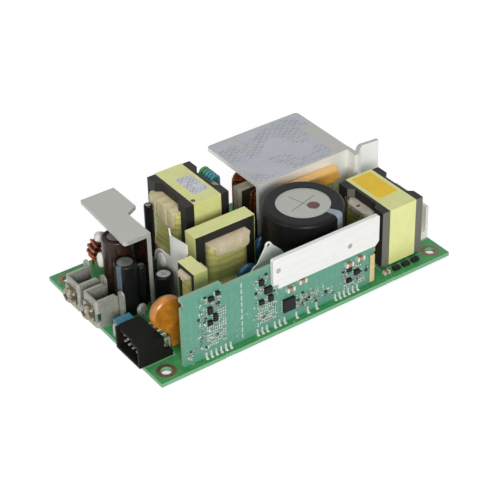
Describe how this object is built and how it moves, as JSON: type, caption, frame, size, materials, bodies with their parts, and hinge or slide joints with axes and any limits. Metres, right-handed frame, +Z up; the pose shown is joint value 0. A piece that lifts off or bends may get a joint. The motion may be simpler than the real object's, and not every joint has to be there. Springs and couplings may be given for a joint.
{
  "type": "open frame power supply",
  "caption": "Open frame switching power supply: wound parts, capacitors, heatsinks and an upright control board on one rectangular board with corner mounting holes.",
  "frame": {"origin": "centre of the four corner mounting holes, on the underside of the main board", "axes": "+X along the board from the output terminals to the mains inlet, +Y from the control board towards the back edge, +Z up through the board"},
  "size_m": [0.1314, 0.0762, 0.0337],
  "materials": {
    "solder_mask": "glass laminate under a glossy green solder mask",
    "control_mask": "glass laminate under a thin teal solder mask",
    "tinned": "tinned metal leads and solder",
    "chip_epoxy": "moulded black epoxy",
    "chip_ceramic": "tan fired ceramic with tinned ends",
    "chip_resistor": "small fired parts with tinned ends",
    "terminal_plate": "tin-plated folded sheet",
    "screw_plate": "nickel-plated screw",
    "black_nylon": "moulded black nylon",
    "gold_pin": "gold-flashed square pin",
    "blue_plastic": "moulded blue thermoset",
    "white_plastic": "moulded white plastic",
    "orange_coat": "dipped orange epoxy coating",
    "grey_coat": "dipped light grey coating",
    "blue_coat": "dipped blue epoxy coating",
    "sheet_aluminium": "folded aluminium sheet, mill finish",
    "plate_aluminium": "bright aluminium plate",
    "can_aluminium": "drawn aluminium can",
    "black_sleeve": "shrunk black plastic sleeve",
    "brown_sleeve": "shrunk dark brown plastic sleeve",
    "ferrite": "dark ground ferrite",
    "bobbin_resin": "moulded beige phenolic resin",
    "taped_winding": "copper wire under layers of yellow tape",
    "yellow_tape": "thin yellow polyester tape",
    "white_label": "plain white label stock",
    "amber_label": "plain amber label stock",
    "sleeving": "blue-green sleeving on lead wires",
    "sheet_fibre": "stamped white insulating sheet",
    "white_nylon": "moulded natural white nylon",
    "orange_film": "moulded orange film capacitor case",
    "yellow_box": "moulded box filled with resin",
    "fuse_case": "moulded round fuse case",
    "core_powder": "coated magnetic ring",
    "copper_wire": "enamelled copper wire",
    "cream_plastic": "moulded cream plastic"
  },
  "bodies": {
    "root": {"main_board": "solder_mask", "control_board": "control_mask", "control_board_pins": "tinned", "surface_mount_chips": "chip_epoxy", "surface_mount_capacitors": "chip_ceramic", "surface_mount_resistors": "chip_resistor", "rear_output_terminal": "terminal_plate", "front_output_terminal": "terminal_plate", "terminal_screws": "screw_plate", "sense_tabs": "terminal_plate", "signal_header": "black_nylon", "signal_header_pins": "gold_pin", "trimmer": "blue_plastic", "trimmer_screw": "white_plastic", "coated_disc": "orange_coat", "ceramic_disc": "grey_coat", "y_capacitors": "blue_coat", "output_heatsink": "sheet_aluminium", "output_rectifier": "chip_epoxy", "bulk_capacitor_can": "can_aluminium", "bulk_capacitor_sleeve": "black_sleeve", "output_capacitor_can": "can_aluminium", "output_capacitor_sleeve": "brown_sleeve", "small_capacitor_cans": "can_aluminium", "small_capacitor_sleeves": "black_sleeve", "main_transformer_core": "ferrite", "main_transformer_bobbin": "bobbin_resin", "main_transformer_winding": "taped_winding", "main_transformer_tape": "yellow_tape", "main_transformer_label": "white_label", "lead_sleeves": "sleeving", "standby_transformer_core": "ferrite", "standby_transformer_bobbin": "bobbin_resin", "standby_transformer_winding": "taped_winding", "standby_transformer_tape": "yellow_tape", "drive_transformer_core": "ferrite", "drive_transformer_bobbin": "bobbin_resin", "drive_transformer_winding": "taped_winding", "drive_transformer_tape": "yellow_tape", "boost_choke_core": "ferrite", "boost_choke_bobbin": "bobbin_resin", "boost_choke_winding": "taped_winding", "boost_choke_tape": "yellow_tape", "boost_choke_label": "amber_label", "rear_heatsink": "sheet_aluminium", "heatsink_labels": "white_label", "power_transistors": "chip_epoxy", "front_heatsink": "plate_aluminium", "insulating_sheet": "sheet_fibre", "corner_sheet": "sheet_fibre", "input_connector": "white_nylon", "input_connector_pins": "tinned", "film_capacitor": "orange_film", "x_capacitor": "yellow_box", "fuse": "fuse_case", "toroid_cores": "core_powder", "output_choke_winding": "copper_wire", "line_choke_winding": "copper_wire", "line_choke_base": "cream_plastic", "solder_joints": "tinned"}
  },
  "joints": []
}
